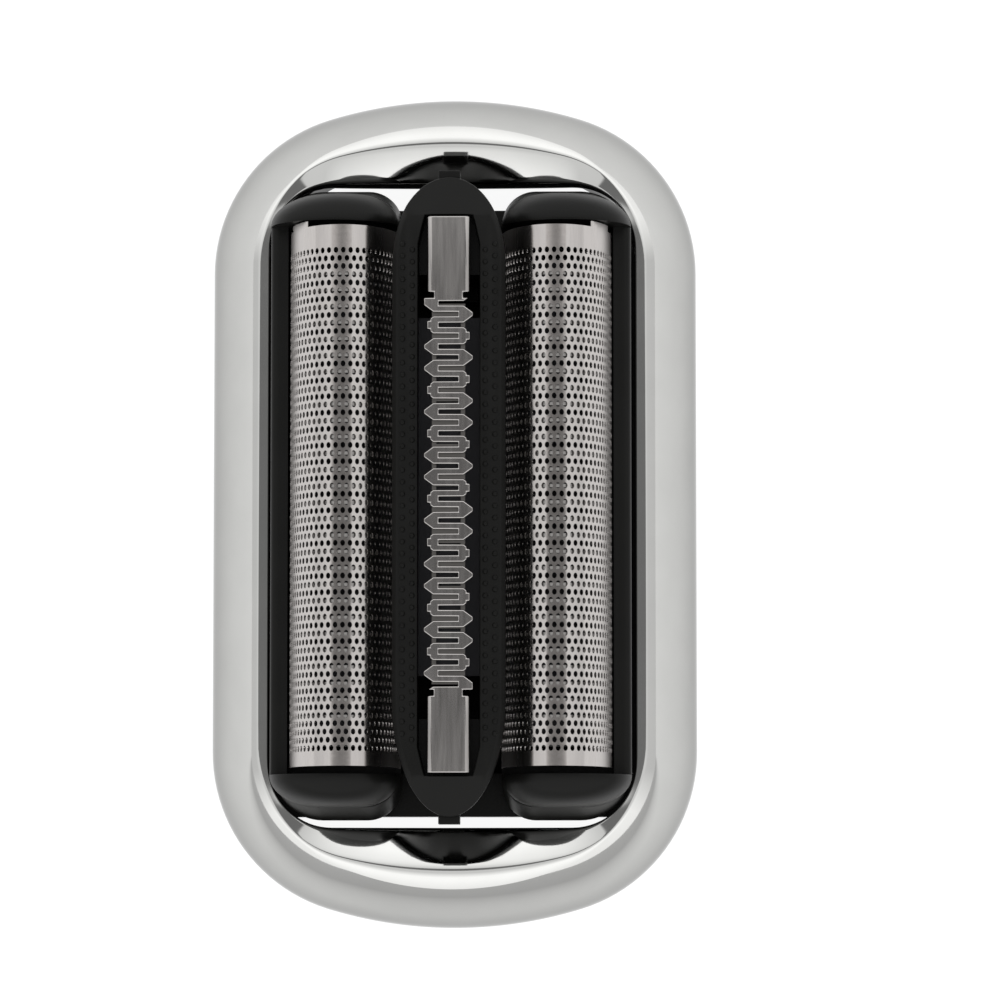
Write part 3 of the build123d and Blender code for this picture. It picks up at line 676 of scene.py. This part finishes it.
moveSelected(rightFoil, bentSpot)
bpy.ops.object.mode_set(mode="OBJECT")
rightFoil.data.attributes.remove(rightFoil.data.attributes["hole"])
applyModifier(rightFoil, "SOLIDIFY", thickness=foil["thickness"], offset=-1.0)
leftFoil = mirroredCopy(rightFoil, "leftFoil")
rightNickel = foilNickel("electroformedNickelRight", foil["middle"])
finishPiece(rightFoil, rightNickel, "right_foil_unit", ["right_foil"])
leftNickel = foilNickel("electroformedNickelLeft", -foil["middle"])
finishPiece(leftFoil, leftNickel, "left_foil_unit", ["left_foil"])


# Cutter blades: one arched lamella, set out along the carrier
bladesBox = boxInMm("right_cutter_blades")
lamella = {
    "halfWidth": (bladesBox[1].x - bladesBox[0].x) / 2, "top": bladesBox[1].z, "foot": bladesBox[0].z,
    "length": bladesBox[1].y - bladesBox[0].y, "riseGap": 0.18, "ring": 0.72,
    "thickness": 0.24, "count": 28, "sides": 56,
}
lamella["rise"] = foil["archRise"] - lamella["riseGap"]
deselectAll()
bpy.ops.mesh.primitive_circle_add(vertices=lamella["sides"], radius=1, rotation=(quarterTurn, 0, 0))
rightLamellae = startPiece("rightLamellae")
bpy.ops.mesh.select_all(action="SELECT")
bpy.ops.transform.resize(value=(lamella["halfWidth"], 1, lamella["rise"]))
bpy.ops.transform.translate(value=(foil["middle"], bladesBox[0].y, lamella["top"] - lamella["rise"]))
bpy.ops.mesh.bisect(plane_co=(0, 0, lamella["foot"]), plane_no=(0, 0, 1), clear_inner=True)
bpy.ops.mesh.select_all(action="SELECT")
bpy.ops.mesh.extrude_region_move()
bpy.ops.transform.resize(
    value=(lamella["ring"], 1, lamella["ring"]),
    center_override=(foil["middle"], bladesBox[0].y, lamella["foot"]))
faceOutwards()
bpy.ops.mesh.extrude_region_move(TRANSFORM_OT_translate={"value": (0, lamella["thickness"], 0)})
faceOutwards()
lamellaPitch = (lamella["length"] - lamella["thickness"]) / (lamella["count"] - 1)
setOut(rightLamellae, lamella["count"], (0, lamellaPitch, 0))
leftLamellae = mirroredCopy(rightLamellae, "leftLamellae")
finishPiece(rightLamellae, bladeSteel, "right_cutter", ["right_cutter_blades"])
finishPiece(leftLamellae, bladeSteel, "left_cutter", ["left_cutter_blades"])


# Moulded pieces: the CAD solids with their edges rounded as the mould leaves them
mouldedAngle = 32
moulded = {
    "rightFoilFrame": ("right_foil_frame", "right_foil_unit", 0.22),
    "leftFoilFrame": ("left_foil_frame", "left_foil_unit", 0.22),
    "trimmerHousing": ("trimmer_housing", "trimmer_unit", 0.16),
    "trimmerCover": ("trimmer_cover", "trimmer_unit", 0.12),
}
for name, (node, body, edgeRound) in moulded.items():
    piece = copyOfNode(node, name)
    roundEdges(piece, edgeRound, mouldedAngle)
    finishPiece(piece, blackPlastic, body, [node], smoothAngle=mouldedAngle, flatFaces=True)


# Trimmer comb: the bends of its end plates rounded, then every edge and turn broken
comb = {
    "bendRound": 0.34, "bendSteps": 6, "edgeRound": 0.09, "edgeAngle": 40, "sideX": 1.48, "plateFrom": 13.9,
}
combTop = boxInMm("trimmer_comb")[1].z
trimmerComb = copyOfNode("trimmer_comb", "trimmerComb")


def isBend(edge):  # outer edge along which the side of an end plate is bent down
    first, second = (vertex.co for vertex in edge.verts)
    isAlong = abs(first.x - second.x) < slack and min(first.z, second.z) > combTop - slack
    isOutside = abs(abs(first.x) - comb["sideX"]) < 2 * slack
    return isAlong and isOutside and min(abs(first.y), abs(second.y)) > comb["plateFrom"]


openPiece(trimmerComb)
pickEdges(trimmerComb, isBend)
bpy.ops.mesh.bevel(
    offset=comb["bendRound"], segments=comb["bendSteps"], affect="EDGES", clamp_overlap=False)
roundEdges(trimmerComb, comb["edgeRound"], comb["edgeAngle"])
finishPiece(
    trimmerComb, combSteel, "trimmer_unit", ["trimmer_comb"],
    smoothAngle=comb["edgeAngle"], flatFaces=True)


# Nubs on the trimmer's shoulders: one low round nub, set out in two rows a side
nubs = {
    "radius": 0.2, "height": 0.14, "sides": 8, "stages": ((0.6, 0.9), (0.4, 0.6)),  # share of height, scale
    "pitch": 0.83, "count": 42, "rows": (2.53, 3.2), "first": -17.0, "belowComb": 0.7, "sink": 0.02,
}
innerRow, outerRow = nubs["rows"]
shoulderTop = combTop - nubs["belowComb"]
deselectAll()
bpy.ops.mesh.primitive_circle_add(
    vertices=nubs["sides"], radius=nubs["radius"], fill_type="NGON",
    location=(innerRow, nubs["first"], shoulderTop - nubs["sink"]))
trimmerNubs = startPiece("trimmerNubs")
for share, scale in nubs["stages"]:
    bpy.ops.mesh.extrude_region_move(TRANSFORM_OT_translate={"value": (0, 0, nubs["height"] * share)})
    bpy.ops.transform.resize(value=(scale, scale, 1), center_override=(innerRow, nubs["first"], 0))
faceOutwards()
setOut(trimmerNubs, nubs["count"], (0, nubs["pitch"], 0))
setOut(trimmerNubs, len(nubs["rows"]), (outerRow - innerRow, nubs["pitch"] / 2, 0))
applyModifier(trimmerNubs, "MIRROR", use_axis=(True, False, False), use_clip=False)
finishPiece(trimmerNubs, blackPlastic, "trimmer_unit", smoothAngle=40)


# Springs: a round wire wound up from its seat
springs = {"wire": 0.4, "wireSides": 10, "radius": 1.1, "turns": 5, "turnSteps": 24, "keep": 0.7}
springSeats = {
    "left_cutter_spring_front": ("drive", "left_cutter_float"),
    "left_cutter_spring_rear": ("drive", "left_cutter_float"),
    "right_cutter_spring_front": ("drive", "right_cutter_float"),
    "right_cutter_spring_rear": ("drive", "right_cutter_float"),
    "trimmer_spring_front": ("cassette", "trimmer_float"),
    "trimmer_spring_rear": ("cassette", "trimmer_float"),
}
windingSteps = springs["turnSteps"] * springs["turns"]
for node, (body, joint) in springSeats.items():
    low, high = boxInMm(node)
    words = node.split("_")
    deselectAll()
    bpy.ops.mesh.primitive_circle_add(
        vertices=springs["wireSides"], radius=springs["wire"] / 2,
        location=(springs["radius"], 0, 0), rotation=(quarterTurn, 0, 0))
    spring = startPiece(words[0] + "".join(word.title() for word in words[1:]))
    applyModifier(
        spring, "SCREW", angle=2 * math.pi * springs["turns"], steps=windingSteps, render_steps=windingSteps,
        screw_offset=high.z - low.z - springs["wire"], use_smooth_shade=True)
    openPiece(spring)
    bpy.ops.mesh.fill_holes(sides=0)
    bpy.ops.mesh.normals_make_consistent(inside=False)
    seat = ((low.x + high.x) / 2, (low.y + high.y) / 2, low.z + springs["wire"] / 2)
    bpy.ops.transform.translate(value=seat)
    bpy.ops.object.mode_set(mode="OBJECT")
    finishPiece(spring, springSteel, body, [node], smoothAngle=50)
    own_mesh(spring)


# CAD nodes that stay as they are get their finish here
nodeFinish = {
    "chassis": blackPlastic, "base_frame": blackPlastic, "drive_bridge": drivePlastic,
    "left_cutter_carrier": drivePlastic, "right_cutter_carrier": drivePlastic,
    "trimmer_slider": drivePlastic, "trimmer_blade": shadedSteel,
}
for node, material in nodeFinish.items():
    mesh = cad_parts[node].data
    mesh.materials.clear()
    mesh.materials.append(material)
print("finishes assigned")


# Floor: pale and lit from below as a light table is, with painted shade in front of the head and a painted
# shadow under it; lengths in mm from the middle of the head
lightTable = {
    "size": 3.0, "below": 0.0002, "paint": "#5a5a5a", "light": "#ffffff", "roughness": 0.8,  # size in metres
    "frontFrom": -75, "frontTo": -40, "frontGlow": 0.44, "glow": 0.94,  # dimmer in front of the head: painted shade
    "aside": (13, 15), "along": (20.6, 21.4),  # inside these it gives no light: a painted shadow under the head
}
deselectAll()
bpy.ops.mesh.primitive_plane_add(size=lightTable["size"], location=(0, 0, -lightTable["below"]))
floor = bpy.context.object
floor.name = "floor"
floorPaint, floorTree, floorShader = startMaterial(
    "paleLightTable", Base_Color=linear(lightTable["paint"]), Roughness=lightTable["roughness"],
    Emission_Color=linear(lightTable["light"]))
floorPlace = addNode(floorTree, "ShaderNodeTexCoord", {}).outputs["Object"]
floorSplit = addNode(floorTree, "ShaderNodeSeparateXYZ", {}, [("Vector", floorPlace)])
# painted shade: the floor's light fades in front of the head, where the ring's front flank mirrors it
floorGlow = addNode(
    floorTree, "ShaderNodeMapRange",
    {"From Min": lightTable["frontFrom"] * mm, "From Max": lightTable["frontTo"] * mm,
     "To Min": lightTable["frontGlow"], "To Max": lightTable["glow"]},
    [("Value", floorSplit.outputs["Y"])])
# painted shadow: the floor gives no light where the head covers it
pastEdge = {}
for axis, reach in (("X", lightTable["aside"]), ("Y", lightTable["along"])):
    away = addNode(floorTree, "ShaderNodeMath", {"operation": "ABSOLUTE"}, [(0, floorSplit.outputs[axis])])
    pastEdge[axis] = addNode(
        floorTree, "ShaderNodeMapRange", {"From Min": reach[0] * mm, "From Max": reach[1] * mm},
        [("Value", away.outputs[0])]).outputs["Result"]
uncovered = addNode(
    floorTree, "ShaderNodeMath", {"operation": "MAXIMUM"}, [(0, pastEdge["X"]), (1, pastEdge["Y"])])
openGlow = addNode(
    floorTree, "ShaderNodeMath", {"operation": "MULTIPLY"},
    [(0, floorGlow.outputs["Result"]), (1, uncovered.outputs[0])])
floorTree.links.new(openGlow.outputs[0], floorShader.inputs["Emission Strength"])
floor.data.materials.append(floorPaint)
floor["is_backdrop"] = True


# Tent: soft light all round, brighter towards both ends, with a dim gap overhead
# (the gap's place and size are slopes from upright)
tent = {
    "light": "#ffffff", "gapHalfWidth": 0.72, "gapHalfLength": 0.065, "gapMiddle": 0.077,
    "gapEdge": (0.9, 1.1), "gapGlow": (0.24, 1.0), "endEdge": (0.15, 0.5), "endGlow": (1.1, 1.9),
    "riseEdge": (0.0, 0.7), "riseGlow": (0.85, 1.0),
}
world = bpy.data.worlds.new("lightTent")
bpy.context.scene.world = world
world.use_nodes = True
tree = world.node_tree
background = tree.nodes["Background"]
background.inputs["Color"].default_value = linear(tent["light"])
towards = addNode(tree, "ShaderNodeTexCoord", {}).outputs["Generated"]
split = addNode(tree, "ShaderNodeSeparateXYZ", {}, [("Vector", towards)])
across = addNode(
    tree, "ShaderNodeMath", {"operation": "DIVIDE"}, [(0, split.outputs["X"]), (1, split.outputs["Z"])])
along = addNode(
    tree, "ShaderNodeMath", {"operation": "DIVIDE"}, [(0, split.outputs["Y"]), (1, split.outputs["Z"])])
gapAcross = addNode(
    tree, "ShaderNodeMath", {"operation": "DIVIDE", 1: tent["gapHalfWidth"]}, [(0, across.outputs[0])])
gapAlong = addNode(
    tree, "ShaderNodeMath",
    {"operation": "MULTIPLY_ADD", 1: 1 / tent["gapHalfLength"],
     2: -tent["gapMiddle"] / tent["gapHalfLength"]},
    [(0, along.outputs[0])])
gapPlace = addNode(
    tree, "ShaderNodeCombineXYZ", {}, [("X", gapAcross.outputs[0]), ("Y", gapAlong.outputs[0])])
fromGap = addNode(
    tree, "ShaderNodeVectorMath", {"operation": "LENGTH"}, [(0, gapPlace.outputs["Vector"])])
endwards = addNode(tree, "ShaderNodeMath", {"operation": "ABSOLUTE"}, [(0, split.outputs["Y"])])
tentParts = []
tentSources = {"gap": fromGap.outputs["Value"], "rise": split.outputs["Z"], "end": endwards.outputs[0]}
for part, source in tentSources.items():
    edge, light = tent[part + "Edge"], tent[part + "Glow"]
    tentParts.append(addNode(
        tree, "ShaderNodeMapRange",
        {"From Min": edge[0], "From Max": edge[1], "To Min": light[0], "To Max": light[1]},
        [("Value", source)]).outputs["Result"])
gapLight, riseLight, endLight = tentParts
tentLight = addNode(tree, "ShaderNodeMath", {"operation": "MULTIPLY"}, [(0, gapLight), (1, riseLight)])
glow = addNode(tree, "ShaderNodeMath", {"operation": "MULTIPLY"}, [(0, tentLight.outputs[0]), (1, endLight)])
tree.links.new(glow.outputs[0], background.inputs["Strength"])


# Camera: almost straight above, aimed a little to the right of the head
view = {
    "back": Vector((0.026, -0.077, 0.997)), "distance": 380.0, "widthAtBelly": 72.5,
    "aimRight": 3.26, "aimUp": 0.94, "sensor": 36.0, "clip": (0.01, 10.0),
}


def viewAxes(back):  # to the right and up in the picture
    right = Vector((0, 1, 0)).cross(back).normalized()
    return right, back.cross(right)


bpy.ops.object.camera_add()
camera = bpy.context.object
camera.name = "camera"
bpy.context.scene.camera = camera
back = view["back"].normalized()
centre = Vector((0, 0, ring["bellyHeight"]))
spot = centre + back * view["distance"]
right, upwards = viewAxes(back)
aim = centre + right * view["aimRight"] + upwards * view["aimUp"]
toCamera = (spot - aim).normalized()
right, upwards = viewAxes(toCamera)
turned = Matrix((right, upwards, toCamera)).transposed().to_4x4()
camera.matrix_world = Matrix.Translation(spot * mm) @ turned
camera.data.sensor_width = view["sensor"]
camera.data.lens = view["sensor"] * view["distance"] / view["widthAtBelly"]
camera.data.clip_start, camera.data.clip_end = view["clip"]
bpy.context.scene.view_settings.view_transform = "Standard"
print("stage and camera set")

low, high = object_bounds()
